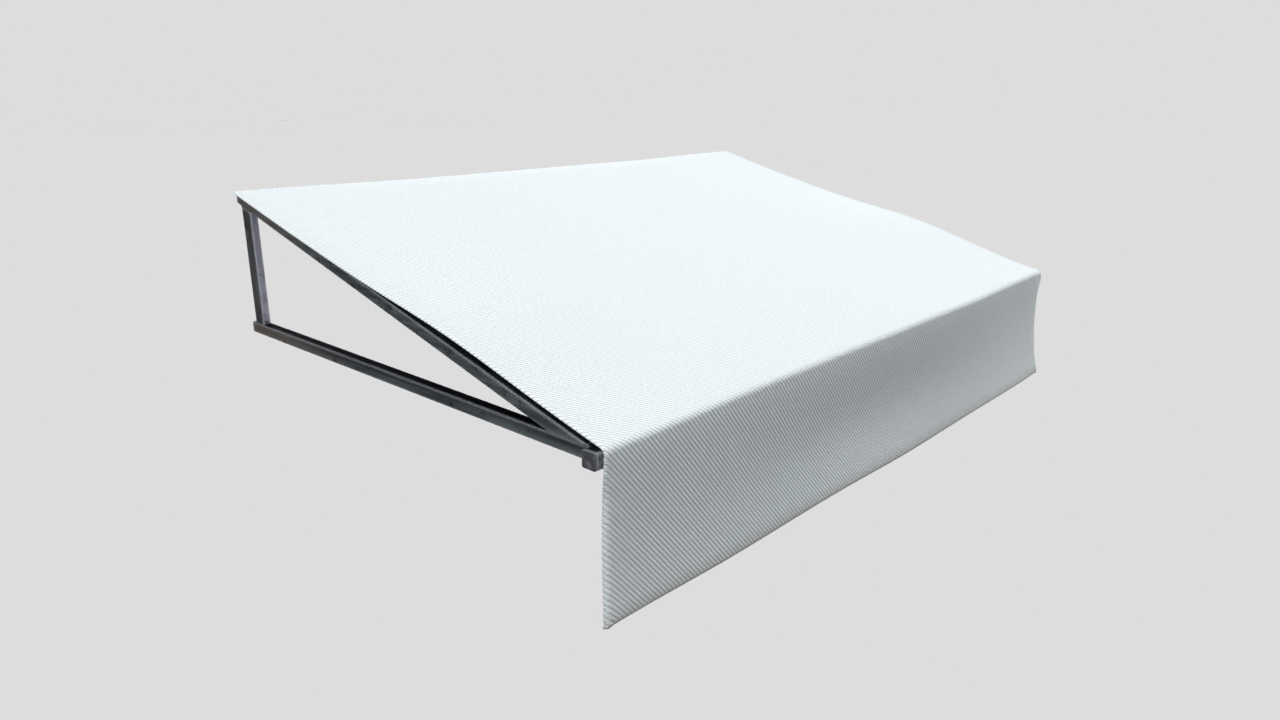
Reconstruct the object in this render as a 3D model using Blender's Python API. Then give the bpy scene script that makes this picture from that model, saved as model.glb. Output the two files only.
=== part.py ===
"""A fabric awning on a welded steel tube frame, made to be screwed to a wall.

Metres, +Z up. X runs along the wall and Y points at it. The origin is the middle of the rear rail's wall face,
so the wall is the plane Y = 0 and the awning stands out from it towards -Y.

Each side of the frame is a flat triangle of tubes: a level bottom arm, a sloping rafter whose foot is cut to lie
on the arm, and a post between the two just in front of the wall. A square bar joins the two arms in front and a
rail joins the two rafters at the wall. One sheet of cloth lies on the rafters, bends over the front bar and
hangs in front of it as a valance.
"""

import math

import bmesh
import bpy
import numpy as np
from mathutils import Vector

# Overall sizes
FRAME_WIDTH = 1.805
PROJECTION = 1.165
ROOF_PITCH = math.radians(14.9)

# The gap that touching pieces keep
GAP = 0.0003

# Square and flat tubes: outer size, then wall
BAR_SIZE = 0.030
BAR_WALL = 0.002
BAR_OVERHANG = 0.0135
ARM_SIZE = 0.025
ARM_WALL = 0.002
RAFTER_SIZE = 0.025
RAFTER_WALL = 0.002
POST_DEPTH = 0.038
POST_WIDTH = 0.018
POST_WALL = 0.0015
POST_TO_WALL = 0.018
RAIL_SIZE = 0.025
RAIL_WALL = 0.002
TUBE_CORNER = 0.003
CORNER_STEPS = 3

# End plugs: a plate over the tube's end, and a hollow stub that fits inside it
PLUG_HEAD = 0.003
PLUG_STUB = 0.018
PLUG_WALL = 0.002
PLUG_FIT = 0.0003

# Holes through the rear rail for the wall screws
HOLE_DIAMETER = 0.0085
HOLE_COUNT = 4
HOLE_FROM_END = 0.120
HOLE_SIDES = 16

# Strips that hold the cloth on the front bar and on the rear rail
STRIP_THICKNESS = 0.002
STRIP_WIDTH = 0.020
STRIP_FROM_END = 0.010

# Cloth: how far its sides stand out past the frame at the wall and at the hem, and in from it at the bend
CLOTH_THICKNESS = 0.0024
BACK_OVERHANG = 0.008
BEND_INSET = 0.0035
HEM_OVERHANG = 0.0215
BACK_EDGE_TO_WALL = 0.003
BEND_RADIUS = 0.007
VALANCE_DROP = 0.300
VALANCE_FLARE = 0.013
HEM_SAG = 0.004

# How the cloth lies: heights above the straight lines between what carries it
CROWN_LIFT = 0.0057
CENTRE_SAG = 0.006
SIDE_LIFT = 0.0095
SIDE_LIFT_END = 0.80
BILLOW_HEIGHT = 0.011
BILLOW_PLACE = 0.33
BILLOW_LENGTH = 0.19
SIDE_BAND = 0.060
SIDE_BLEND = 0.40

# Ribs of the cloth: their spacing across it and down it, and how far before the bend they rise from the roof
RIB_ACROSS = 0.0094
RIB_DOWN = 0.0104
RIB_HEIGHT = 0.0009
RIB_START = 0.030

# Grid of the cloth
COLUMNS = 24
ROOF_ROWS = 20
BEND_ROWS = 3
VALANCE_ROWS = 3

# Faces that meet at more than this angle are shaded with a sharp edge
SHARP_FROM = math.radians(40)

# Places that follow from the sizes
SLOPE = math.tan(ROOF_PITCH)
SIDE_FACE = FRAME_WIDTH / 2
RAFTER_INNER_FACE = SIDE_FACE - RAFTER_SIZE
BAR_FRONT = -PROJECTION
BAR_REAR = BAR_FRONT + BAR_SIZE
TUBE_END = -(PLUG_HEAD + GAP)
RAIL_TOP = RAIL_SIZE / 2
STRIP_TOP = RAIL_TOP + GAP + STRIP_THICKNESS
EAVES = STRIP_TOP - GAP - SLOPE * (-RAIL_SIZE - BAR_REAR - GAP)
CLOTH_INNER_FACE = BAR_FRONT - STRIP_THICKNESS - 2 * GAP
BACK_EDGE = -BACK_EDGE_TO_WALL
BACK_WIDTH = FRAME_WIDTH + 2 * BACK_OVERHANG
BEND_WIDTH = FRAME_WIDTH - 2 * BEND_INSET
HEM_WIDTH = FRAME_WIDTH + 2 * HEM_OVERHANG
ARC_START = CLOTH_INNER_FACE + BEND_RADIUS * (1 - math.sin(ROOF_PITCH))
ROOF_LENGTH = (BACK_EDGE - ARC_START) / math.cos(ROOF_PITCH)
BEND_END = ROOF_LENGTH + BEND_RADIUS * (math.pi / 2 - ROOF_PITCH)
CLOTH_LENGTH = BEND_END + VALANCE_DROP
RIBS_FROM = ROOF_LENGTH - RIB_START
BEND_PLACES = np.linspace(ROOF_LENGTH, BEND_END, BEND_ROWS + 1)
VALANCE_PLACES = np.linspace(BEND_END, CLOTH_LENGTH, VALANCE_ROWS + 1)[1:]

X_AXIS = Vector((1, 0, 0))
Y_AXIS = Vector((0, 1, 0))
Z_AXIS = Vector((0, 0, 1))
UP_SLOPE = Vector((0, math.cos(ROOF_PITCH), math.sin(ROOF_PITCH)))
OFF_SLOPE = Vector((0, -math.sin(ROOF_PITCH), math.cos(ROOF_PITCH)))


def rafter_top(y):
    """Height of the rafters' top faces, which meet the arms' top faces behind the front bar."""
    return EAVES + GAP + SLOPE * (y - BAR_REAR - GAP)


def clear_scene():
    for thing in list(bpy.data.objects):
        bpy.data.objects.remove(thing, do_unlink=True)


def material(name, colour, roughness, metallic):
    """A Principled material. The colour is linear red, green and blue."""
    made = bpy.data.materials.new(name)
    made.use_nodes = True
    shader = made.node_tree.nodes["Principled BSDF"]
    shader.inputs["Base Color"].default_value = (*colour, 1)
    shader.inputs["Roughness"].default_value = roughness
    shader.inputs["Metallic"].default_value = metallic
    return made


def steel(name):
    return material(name + "_steel", (0.075, 0.075, 0.082), 0.45, 1.0)


def plastic(name):
    return material(name + "_plastic", (0.030, 0.030, 0.033), 0.55, 0.0)


def add_object(name, mesh, finish):
    made = bpy.data.objects.new(name, mesh)
    bpy.context.scene.collection.objects.link(made)
    if finish:
        mesh.materials.append(finish)
    return made


def rounded_rectangle(width, height, radius):
    """Points round a rectangle with arcs for corners, anticlockwise, as (across, up)."""
    points = []
    for quarter in range(4):
        turn = quarter * math.pi / 2
        side_x = 1 if quarter in (0, 3) else -1
        side_y = 1 if quarter in (0, 1) else -1
        centre = (side_x * (width / 2 - radius), side_y * (height / 2 - radius))
        for step in range(CORNER_STEPS + 1):
            angle = turn + step / CORNER_STEPS * math.pi / 2
            points.append((centre[0] + radius * math.cos(angle), centre[1] + radius * math.sin(angle)))
    return points


def loop_on_plane(outline, centre, axes, plane_point, plane_normal):
    """The outline, drawn across a tube's axis, slid along that axis until each point meets the plane."""
    across, up, along = axes
    loop = []
    for a, b in outline:
        point = centre + across * a + up * b
        slide = (plane_point - point).dot(plane_normal) / along.dot(plane_normal)
        loop.append(point + along * slide)
    return loop


def skin(name, loops, finish, ring):
    """A closed body through loops with equal numbers of points: a ring of loops, or a stack with two caps."""
    shape = bmesh.new()
    rows = [[shape.verts.new(point) for point in loop] for loop in loops]
    pairs = zip(rows, rows[1:] + rows[:1]) if ring else zip(rows, rows[1:])
    for first, second in pairs:
        for i in range(len(first)):
            j = (i + 1) % len(first)
            shape.faces.new((first[i], first[j], second[j], second[i]))
    if not ring:
        shape.faces.new(rows[0][::-1])
        shape.faces.new(rows[-1])
    bmesh.ops.recalc_face_normals(shape, faces=shape.faces)
    mesh = bpy.data.meshes.new(name)
    shape.to_mesh(mesh)
    shape.free()
    mesh.shade_smooth()
    mesh.set_sharp_from_angle(angle=SHARP_FROM)
    return add_object(name, mesh, finish)


def tube(name, size, wall, centre, axes, start, end):
    """A tube with rounded corners between two planes, each a point and a normal. Size is (across, up)."""
    outer = rounded_rectangle(*size, TUBE_CORNER)
    inner = rounded_rectangle(size[0] - 2 * wall, size[1] - 2 * wall, max(TUBE_CORNER - wall, wall / 4))
    loops = [
        loop_on_plane(outer, centre, axes, *start),
        loop_on_plane(outer, centre, axes, *end),
        loop_on_plane(inner, centre, axes, *end),
        loop_on_plane(inner, centre, axes, *start),
    ]
    return skin(name, loops, steel(name), ring=True)


def plug(name, size, wall, centre, axes, outward, face):
    """A plug for a tube's end: its plate's outer face lies at the face point, square to the outward axis."""
    plate = rounded_rectangle(*size, TUBE_CORNER)
    stub_size = [side - 2 * wall - 2 * PLUG_FIT for side in size]
    stub_corner = max(TUBE_CORNER - wall - PLUG_FIT, wall / 5)
    stub = rounded_rectangle(*stub_size, stub_corner)
    hollow = rounded_rectangle(*[side - 2 * PLUG_WALL for side in stub_size], stub_corner / 2)

    def at(outline, depth):
        return loop_on_plane(outline, centre, axes, face - outward * depth, outward)

    loops = [
        at(plate, 0),
        at(plate, PLUG_HEAD),
        at(stub, PLUG_HEAD),
        at(stub, PLUG_HEAD + PLUG_STUB),
        at(hollow, PLUG_HEAD + PLUG_STUB),
        at(hollow, PLUG_HEAD + PLUG_WALL),
    ]
    return skin(name, loops, plastic(name), ring=False)


def front_bar():
    """The bar along the bend, and the plugs in its two ends."""
    centre = Vector((0, BAR_FRONT + BAR_SIZE / 2, EAVES - BAR_SIZE / 2))
    axes = (Y_AXIS, Z_AXIS, X_AXIS)
    size = (BAR_SIZE, BAR_SIZE)
    end_face = SIDE_FACE + BAR_OVERHANG
    tube_end = end_face - PLUG_HEAD - GAP
    start = (-X_AXIS * tube_end, X_AXIS)
    end = (X_AXIS * tube_end, X_AXIS)
    tube("front_bar", size, BAR_WALL, centre, axes, start, end)
    for side, name in ((-1, "left"), (1, "right")):
        outward = X_AXIS * side
        plug("front_bar_plug_" + name, size, BAR_WALL, centre, axes, outward, outward * end_face)


def side_frame(side, name):
    """One side's arm, rafter and post, with the plugs in the arm's and the rafter's wall ends."""
    wall_face = Vector((0, 0, 0))
    tube_end = (Vector((0, TUBE_END, 0)), Y_AXIS)

    arm_centre = Vector((side * (SIDE_FACE - ARM_SIZE / 2), 0, EAVES - ARM_SIZE / 2))
    arm_axes = (X_AXIS, Z_AXIS, Y_AXIS)
    arm_size = (ARM_SIZE, ARM_SIZE)
    arm_start = (Vector((0, BAR_REAR + GAP, 0)), Y_AXIS)
    tube("bottom_arm_" + name, arm_size, ARM_WALL, arm_centre, arm_axes, arm_start, tube_end)
    plug("bottom_arm_plug_" + name, arm_size, ARM_WALL, arm_centre, arm_axes, Y_AXIS, wall_face)

    top_at_wall = Vector((side * (SIDE_FACE - RAFTER_SIZE / 2), 0, rafter_top(0)))
    rafter_centre = top_at_wall - OFF_SLOPE * RAFTER_SIZE / 2
    rafter_axes = (X_AXIS, OFF_SLOPE, UP_SLOPE)
    rafter_size = (RAFTER_SIZE, RAFTER_SIZE)
    on_arm = (Vector((0, 0, EAVES + GAP)), Z_AXIS)
    tube("rafter_" + name, rafter_size, RAFTER_WALL, rafter_centre, rafter_axes, on_arm, tube_end)
    plug("rafter_plug_" + name, rafter_size, RAFTER_WALL, rafter_centre, rafter_axes, Y_AXIS, wall_face)

    post_centre = Vector((side * (SIDE_FACE - POST_WIDTH / 2), -POST_TO_WALL - POST_DEPTH / 2, 0))
    post_axes = (X_AXIS, Y_AXIS, Z_AXIS)
    under_rafter = (top_at_wall - OFF_SLOPE * (RAFTER_SIZE + GAP), OFF_SLOPE)
    tube("wall_post_" + name, (POST_WIDTH, POST_DEPTH), POST_WALL, post_centre, post_axes, on_arm, under_rafter)


def rear_rail():
    """The rail between the rafters, with a row of holes from front to back for the wall screws."""
    half_length = RAFTER_INNER_FACE - GAP
    centre = Vector((0, -RAIL_SIZE / 2, 0))
    ends = [(X_AXIS * half_length * side, X_AXIS) for side in (-1, 1)]
    rail = tube("rear_rail", (RAIL_SIZE, RAIL_SIZE), RAIL_WALL, centre, (Y_AXIS, Z_AXIS, X_AXIS), *ends)

    drills = bmesh.new()
    first = half_length - HOLE_FROM_END
    for x in np.linspace(-first, first, HOLE_COUNT):
        made = bmesh.ops.create_cone(
            drills,
            cap_ends=True,
            segments=HOLE_SIDES,
            radius1=HOLE_DIAMETER / 2,
            radius2=HOLE_DIAMETER / 2,
            depth=2 * RAIL_SIZE,
        )
        turn = Y_AXIS.rotation_difference(Z_AXIS).to_matrix()
        bmesh.ops.rotate(drills, verts=made["verts"], cent=(0, 0, 0), matrix=turn)
        bmesh.ops.translate(drills, verts=made["verts"], vec=(x, centre.y, 0))
    mesh = bpy.data.meshes.new("rail_drills")
    drills.to_mesh(mesh)
    drills.free()
    cutter = add_object("rail_drills", mesh, None)
    cutter.hide_render = True
    cutter.display_type = "WIRE"
    cut = rail.modifiers.new("wall_screw_holes", "BOOLEAN")
    cut.operation = "DIFFERENCE"
    cut.solver = "EXACT"
    cut.object = cutter


def holding_strip(name, half_length, centre, size):
    """A flat strip along X. Size is (front to back, up)."""
    outline = rounded_rectangle(*size, STRIP_THICKNESS / 4)
    axes = (Y_AXIS, Z_AXIS, X_AXIS)
    loops = [loop_on_plane(outline, centre, axes, X_AXIS * half_length * side, X_AXIS) for side in (-1, 1)]
    skin(name, loops, plastic(name), ring=False)


def holding_strips():
    front_centre = Vector((0, BAR_FRONT - GAP - STRIP_THICKNESS / 2, EAVES - BAR_SIZE / 2))
    front_length = BEND_WIDTH / 2 - STRIP_FROM_END
    holding_strip("front_holding_strip", front_length, front_centre, (STRIP_THICKNESS, STRIP_WIDTH))
    rear_centre = Vector((0, -RAIL_SIZE / 2, RAIL_TOP + GAP + STRIP_THICKNESS / 2))
    rear_length = RAFTER_INNER_FACE - GAP - STRIP_FROM_END
    holding_strip("rear_holding_strip", rear_length, rear_centre, (STRIP_WIDTH, STRIP_THICKNESS))


def smooth(value):
    """0 below 0, 1 above 1, and an even S between them."""
    value = np.clip(value, 0, 1)
    return value * value * (3 - 2 * value)


def cloth_height(x, y):
    """Height of the roof cloth's under side.

    Midway it runs straight from the crown of the bend to the rear strip, a little slack, and then level over
    the strip. Along each side it rests on the rafter near the wall and stands off it further out in one long
    billow. The two are blended across the width.
    """
    from_bend = (y - CLOTH_INNER_FACE) / (BACK_EDGE - CLOTH_INNER_FACE)
    crown = EAVES + CROWN_LIFT
    rear = STRIP_TOP + GAP
    run = (y - CLOTH_INNER_FACE) / (-RAIL_SIZE - CLOTH_INNER_FACE)
    run = np.clip(run, None, 1)
    middle = crown + (rear - crown) * run - CENTRE_SAG * np.sin(np.pi * np.clip(run, 0, 1))

    lift = GAP + SIDE_LIFT * np.clip(1 - from_bend / SIDE_LIFT_END, 0, None)
    lift = lift + BILLOW_HEIGHT * np.exp(-(((from_bend - BILLOW_PLACE) / BILLOW_LENGTH) ** 2))
    edge = rafter_top(y) + lift

    band_start = RAFTER_INNER_FACE - SIDE_BAND
    share = smooth((np.abs(x) - band_start + SIDE_BLEND) / SIDE_BLEND)
    return middle * (1 - share) + edge * share


def lay_cloth(share, length):
    """Where the cloth lies at a share of its half width, -1 to 1, and a length down it: points, and its tilt.

    These are points of the inner side, for arrays of equal shape. The tilt is the angle of the cloth's profile
    from level: the roof's pitch, then growing round the bend, then upright down the valance.
    """
    out = np.clip(length / ROOF_LENGTH, 0, 1)
    down = np.clip((length - BEND_END) / (CLOTH_LENGTH - BEND_END), 0, None)
    width = BACK_WIDTH + (BEND_WIDTH - BACK_WIDTH) * out + (HEM_WIDTH - BEND_WIDTH) * down**2
    x = share * width / 2

    y = BACK_EDGE - np.minimum(length, ROOF_LENGTH) * math.cos(ROOF_PITCH)
    z = cloth_height(x, y)
    tilt = ROOF_PITCH + np.clip((length - ROOF_LENGTH) / BEND_RADIUS, 0, math.pi / 2 - ROOF_PITCH)
    y = y + BEND_RADIUS * (math.sin(ROOF_PITCH) - np.sin(tilt)) - VALANCE_FLARE * down**2
    z = z + BEND_RADIUS * (np.cos(tilt) - math.cos(ROOF_PITCH))

    hem = EAVES - VALANCE_DROP - HEM_SAG * (1 - share**2)
    return np.stack([x, y, z + (hem - z) * down], axis=-1), tilt


def outer_side(share, length, height):
    """Points of the cloth's outer side: off the inner side by this height, square to the profile."""
    inner, tilt = lay_cloth(share, length)
    off = np.stack([np.zeros_like(tilt), -np.sin(tilt), np.cos(tilt)], axis=-1)
    return inner + off * np.asarray(height)[..., None]


def ribbed_columns():
    """The ribbed stretch as columns by rows: share across, length down, and height of the outer side.

    Each column follows the line of a ridge, or of a groove between two ribs, from where it enters (at the start
    of the ribs or the left side) to where it leaves (at the hem or the right side). The lines are counted in
    ribs: whole numbers are grooves and halves are ridges. The ribs rise from the smooth roof up to the bend.
    """
    stretch = CLOTH_LENGTH - RIBS_FROM
    ribs_across = round(FRAME_WIDTH / RIB_ACROSS)
    ribs_down = round(stretch / RIB_DOWN)
    line = np.arange(-2 * ribs_down, 2 * ribs_across + 1)[:, None] / 2
    enter = np.clip(-line / ribs_down, 0, 1)
    leave = np.clip((ribs_across - line) / ribs_down, 0, 1)
    rows = np.concatenate([[RIBS_FROM], BEND_PLACES, VALANCE_PLACES])
    down = np.clip((rows[None, :] - RIBS_FROM) / stretch, enter, leave)

    share = 2 * (line + down * ribs_down) / ribs_across - 1
    length = RIBS_FROM + down * stretch
    is_groove = line % 1 == 0
    rise = np.clip((length - RIBS_FROM) / RIB_START, 0, 1)
    return share, length, CLOTH_THICKNESS - RIB_HEIGHT * is_groove * rise


def add_grid(shape, points):
    """Vertices of a grid of points, with faces between them. Neighbours at the same place are one vertex."""
    grid = []
    for line in points:
        made = []
        for k, point in enumerate(line):
            same = k > 0 and np.array_equal(point, line[k - 1])
            made.append(made[-1] if same else shape.verts.new(point))
        grid.append(made)
    for line, following in zip(grid, grid[1:]):
        for k in range(len(line) - 1):
            corners = (line[k], line[k + 1], following[k + 1], following[k])
            corners = list(dict.fromkeys(corners))
            if len(corners) > 2:
                shape.faces.new(corners)
    return grid


def zip_edges(shape, first, second):
    """Triangles between two rows of (place, vertex), which need not be equal in number."""
    i = 0
    j = 0
    while i < len(first) - 1 or j < len(second) - 1:
        second_done = j == len(second) - 1
        if second_done or (i < len(first) - 1 and first[i + 1][0] <= second[j + 1][0]):
            shape.faces.new((first[i][1], first[i + 1][1], second[j][1]))
            i += 1
        else:
            shape.faces.new((first[i][1], second[j + 1][1], second[j][1]))
            j += 1


def canopy():
    """The sheet of cloth: a smooth inner side, and an outer side with ribs over the bend and the valance."""
    shape = bmesh.new()
    across = np.linspace(-1, 1, COLUMNS + 1)
    strip_edge = (BACK_EDGE + RAIL_SIZE) / math.cos(ROOF_PITCH)
    roof = np.sort(np.append(np.linspace(0, RIBS_FROM, ROOF_ROWS + 1), strip_edge))
    inner_rows = np.concatenate([roof, BEND_PLACES, VALANCE_PLACES])
    smooth_rows = roof[:-1]

    share, length = np.meshgrid(across, inner_rows)
    inner = add_grid(shape, lay_cloth(share, length)[0])
    share, length = np.meshgrid(across, smooth_rows)
    smooth_roof = add_grid(shape, outer_side(share, length, np.full(share.shape, CLOTH_THICKNESS)))
    share, length, height = ribbed_columns()
    ribbed = add_grid(shape, outer_side(share, length, height))

    first_ends = list(zip(share[:, 0], length[:, 0], [line[0] for line in ribbed]))
    last_ends = list(zip(share[:, -1], length[:, -1], [line[-1] for line in ribbed]))
    ribs_top = [(a, vertex) for a, b, vertex in first_ends if np.isclose(b, RIBS_FROM)]
    ribs_left = [(b, vertex) for a, b, vertex in first_ends[::-1] if np.isclose(a, -1)]
    ribs_hem = [(a, vertex) for a, b, vertex in last_ends if np.isclose(b, CLOTH_LENGTH)]
    ribs_right = [(b, vertex) for a, b, vertex in last_ends[::-1] if np.isclose(a, 1)]

    zip_edges(shape, list(zip(across, smooth_roof[-1])), ribs_top)
    zip_edges(shape, list(zip(across, smooth_roof[0])), list(zip(across, inner[0])))
    zip_edges(shape, ribs_hem, list(zip(across, inner[-1])))
    for ribs_side, column in ((ribs_left, 0), (ribs_right, -1)):
        roof_side = [(b, line[column]) for b, line in zip(smooth_rows, smooth_roof)]
        inner_side = [(b, line[column]) for b, line in zip(inner_rows, inner)]
        zip_edges(shape, roof_side + ribs_side, inner_side)

    bmesh.ops.recalc_face_normals(shape, faces=shape.faces)
    mesh = bpy.data.meshes.new("canopy")
    shape.to_mesh(mesh)
    shape.free()
    mesh.shade_smooth()
    mesh.set_sharp_from_angle(angle=SHARP_FROM)
    add_object("canopy", mesh, material("white_awning_cloth", (0.87, 0.95, 0.96), 0.9, 0.0))


def main():
    clear_scene()
    front_bar()
    side_frame(-1, "left")
    side_frame(1, "right")
    rear_rail()
    holding_strips()
    canopy()


main()
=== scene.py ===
"""Fabric awning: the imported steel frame, dressed with its ribbed cloth, weld beads and finishes.

Metres, +Z up. X runs along the wall, Y points at it, and the wall is the plane Y = 0. Every piece
keeps its place in its mesh, and rides on the one body that the awning has.
"""

import math

import bmesh
import bpy
import numpy as np
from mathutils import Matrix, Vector


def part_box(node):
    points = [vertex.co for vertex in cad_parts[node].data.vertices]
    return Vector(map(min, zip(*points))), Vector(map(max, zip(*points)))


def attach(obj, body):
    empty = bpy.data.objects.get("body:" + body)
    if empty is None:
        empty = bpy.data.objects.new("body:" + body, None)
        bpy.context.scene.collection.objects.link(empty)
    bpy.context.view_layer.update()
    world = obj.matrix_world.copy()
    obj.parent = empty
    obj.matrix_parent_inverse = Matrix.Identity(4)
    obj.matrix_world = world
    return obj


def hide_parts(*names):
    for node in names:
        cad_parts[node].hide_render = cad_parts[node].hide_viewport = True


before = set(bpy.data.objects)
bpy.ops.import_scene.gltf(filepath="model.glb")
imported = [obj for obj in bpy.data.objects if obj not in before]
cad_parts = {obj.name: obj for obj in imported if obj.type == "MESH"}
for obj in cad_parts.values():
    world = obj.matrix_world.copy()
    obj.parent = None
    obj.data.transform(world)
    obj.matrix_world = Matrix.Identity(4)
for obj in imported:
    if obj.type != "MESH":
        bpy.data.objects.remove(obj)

bl_info = {
    "name": "Fabric awning",
    "version": (1, 0, 0),
    "blender": (4, 5, 0),
    "location": "3D View > Sidebar > Awning",
    "description": "Builds the cloth, weld beads, finishes and studio of a fabric awning",
    "category": "Add Mesh",
}

ROOT = "root"

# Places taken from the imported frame, and the gap that it leaves between its pieces
GAP = 0.0003
BAR_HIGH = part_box("front_bar")[1]
ARM_LOW, ARM_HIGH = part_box("bottom_arm_right")
POST_LOW, POST_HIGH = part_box("wall_post_right")
RAIL_LOW, RAIL_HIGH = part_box("rear_rail")
RAFTER_INNER_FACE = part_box("rafter_right")[0].x
STRIP_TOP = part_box("rear_holding_strip")[1].z
CLOTH_INNER_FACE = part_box("front_holding_strip")[0].y - GAP
BACK_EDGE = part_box("canopy")[1].y
SIDE_FACE = ARM_HIGH.x
EAVES = BAR_HIGH.z
ROOF_PITCH = math.radians(14.9)
SLOPE = math.tan(ROOF_PITCH)

# How the cloth lies on the frame: its side edges, its billow over the rafters and its slack
# between them
BACK_OVERHANG = 0.008
BEND_INSET = 0.0035
BEND_RADIUS = 0.012
CROWN_LIFT = 0.0057
CENTRE_SAG = 0.006
SIDE_LIFT = 0.0095
RIGHT_EXTRA_LIFT = 0.010
SIDE_LIFT_END = 0.80
BILLOW_HEIGHT = 0.011
RIGHT_EXTRA_BILLOW = 0.0065
BILLOW_PLACE = 0.33
BILLOW_LENGTH = 0.19
SIDE_BAND = 0.060
SIDE_BLEND = 0.40
VALANCE_DROP = 0.300

# Side edges of the valance: the left one flares evenly, and the right one stands out at the bar
# and is drawn in further down
LEFT_FLARE_OUT = 0.017
LEFT_DRAWN_IN = 0.004
RIGHT_EAR = 0.012
RIGHT_EAR_UP = 0.075
RIGHT_EAR_FROM = 0.012
RIGHT_EAR_DOWN = 0.045
RIGHT_WAIST = 0.014
RIGHT_WAIST_END = 0.40

# How the valance leans: even all along, drawn in under the bar near the middle, and kicked out to
# the right
FLARE_FORWARD = 0.013
LEAN_IN = 0.007
LEAN_FROM = 0.10
LEAN_PLACE = -0.05
LEAN_LENGTH = 0.45
HEM_KICK = 0.006
HEM_KICK_FROM = -0.50
HEM_KICK_LENGTH = 0.60
CORNER_KICK = 0.014
CORNER_KICK_FROM = 0.25
CORNER_KICK_LENGTH = 0.60

# The hem's line: its height, its rise to each side, its drop at the very corners and its slow wave
HEM_LEVEL = -0.585
HEM_LEFT_RISE = 0.003
HEM_LEFT_LENGTH = 0.30
HEM_CORNER_DROP = 0.003
HEM_CORNER_LENGTH = 0.020
HEM_RIGHT_RISE = 0.022
HEM_RIGHT_FROM = 0.30
HEM_RIGHT_LENGTH = 0.65
HEM_WAVE = 0.0018
HEM_WAVE_LENGTH = 0.65
HEM_WAVE_PLACE = -0.20

# Rolled edges: the side roll's radius on the roof, where its fuller radius on the valance starts
# and is reached, and the hem's. The ribs grow shallow towards them over these lengths, down to a
# share of their height, and show through on the under side by another share.
ROOF_ROLL = 0.0018
ROLL_FROM = 0.025
ROLL_LENGTH = 0.050
HEM_ROLL = 0.004
SIDE_RIB_FADE = 0.018
HEM_RIB_FADE = 0.008
EDGE_RELIEF = 0.12
INNER_RELIEF = 0.25

# Grid of the cloth: samples to a rib, rows along its length, the share of the length under which
# two rows are one, the step over which normals are taken, and the angle past which edges are sharp
SAMPLES_A_RIB = 4
ROOF_ROWS = 22
BEND_ROWS = 6
VALANCE_ROWS = 8
EDGE_ROWS = 5
SAME_ROW = 1e-9
NORMAL_STEP = 1e-4
GROOVE_SHARP = math.radians(50)

# Weld beads: how far in from a tube's face they run, how far from the wall the rail's start, the
# radius of their corners, the points round each and round a corner, and the sides of the section.
# A ripple falls by a share of its height, the bead is never thinner than its least share, and the
# tip of an open one has a share of its section.
WELD_INSET = 0.001
WELD_START = 0.004
WELD_CORNER = 0.002
WELD_POINTS = 240
WELD_CORNER_POINTS = 9
BEAD_SIDES = 8
RIPPLE_FALL = 0.75
BEAD_LEAST = 0.82
BEAD_SWELL = 0.18
BEAD_TIP = 0.02

# Scales of the patterns, as features to a metre, with the size that one is drawn at. Those marked
# coarse are drawn larger than the real size after it, which would be too fine to show.
FIBRE_SCALE = 900  # 1.1 mm, coarse: the canvas's fuzz, of about 0.3 mm
MOTTLE_SCALE = 28  # 36 mm: weathered patches of the canvas
STREAK_SCALE = 90  # 11 mm across the tube: streaks that the rolls leave along it
STREAK_STRETCH = 0.06  # a streak's width as a share of its length
SMUDGE_SCALE = 24  # 42 mm: smudges of soot and oil, as wide as a few fingers
GRAIN_SCALE = 420  # 2.4 mm, coarse: the grain of mill scale, of about 0.2 mm
HEAT_SCALE = 55  # 18 mm: heat tint along a weld
SLAG_SCALE = 380  # 2.6 mm: spots of slag
SCUFF_SCALE = 62  # 16 mm: scuffed patches of an end plug, about half its width
PLUG_GRAIN_SCALE = 700  # 1.4 mm, coarse: the plug's moulded grain, of about 0.1 mm
HOOK_SCALE = 650  # 1.5 mm: spacing of the tape's hooks

# The canvas: how much its threads beat, how dark the painted shade between them gets, its fibres'
# share of the relief, the depth of its relief, and the heights of the dust and of the painted shade
# on the rolled hem
THREAD_BEAT = 0.14
THREAD_SHADE = 0.22
FIBRE_RELIEF = 0.15
CANVAS_DEPTH = 0.0014
DUST_HEIGHT = 0.035
HEM_SHADE_BAND = (0.001, 0.007)
MOTTLE_TINT = (0.955, 0.972, 0.98)

# Steel and plastic: how wide the band of wear and painted highlight along their corners is, the
# share of it on a lower corner, which faces away from the light, the depth of their grain, where
# the brown tinge starts and ends, and how dark streaks are, and soot with the painted shade
STEEL_EDGE_BAND = 0.0065
PLUG_EDGE_BAND = 0.0030
LOWER_CORNER_LIT_SHARE = 0.12
GRAIN_DEPTH = 0.0002
BROWN_FROM, BROWN_TO = -0.50, -0.04
STREAK_DARK, STREAK_LIGHT = 0.6, 1.4
SOOT_AND_SHADE = 0.08

# The photograph's camera
CAMERA_PLACE = (-1.78938, -2.06441, 0.24785)
CAMERA_TURN = -0.8244
CAMERA_DIP = 0.295
CAMERA_LENS = 25.25
SENSOR_WIDTH = 36

# The floor, and the share that takes off what the soft box and the wide lamps add to its light
FLOOR_LEVEL = -7.0
FLOOR_SIZE = 400
FLOOR_MATCH = 0.992

# Where the two distant lamps shine from, as seen from the awning
KEY_DIRECTION = (-0.20, -0.20, 0.96)
SIDE_DIRECTION = (-1.0, 0.0, 0.06)

# Place, aim and side of the soft box in front on the right
SOFT_BOX_PLACE = (2.2, -2.4, -0.3)
SOFT_BOX_AIM = (0.5, -1.1, -0.4)
SOFT_BOX_SIZE = 1.2


def linear(code):
    """An sRGB hex colour as linear red, green and blue."""
    values = [int(code[i : i + 2], 16) / 255 for i in (1, 3, 5)]
    return tuple(v / 12.92 if v <= 0.04045 else ((v + 0.055) / 1.055) ** 2.4 for v in values)


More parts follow.
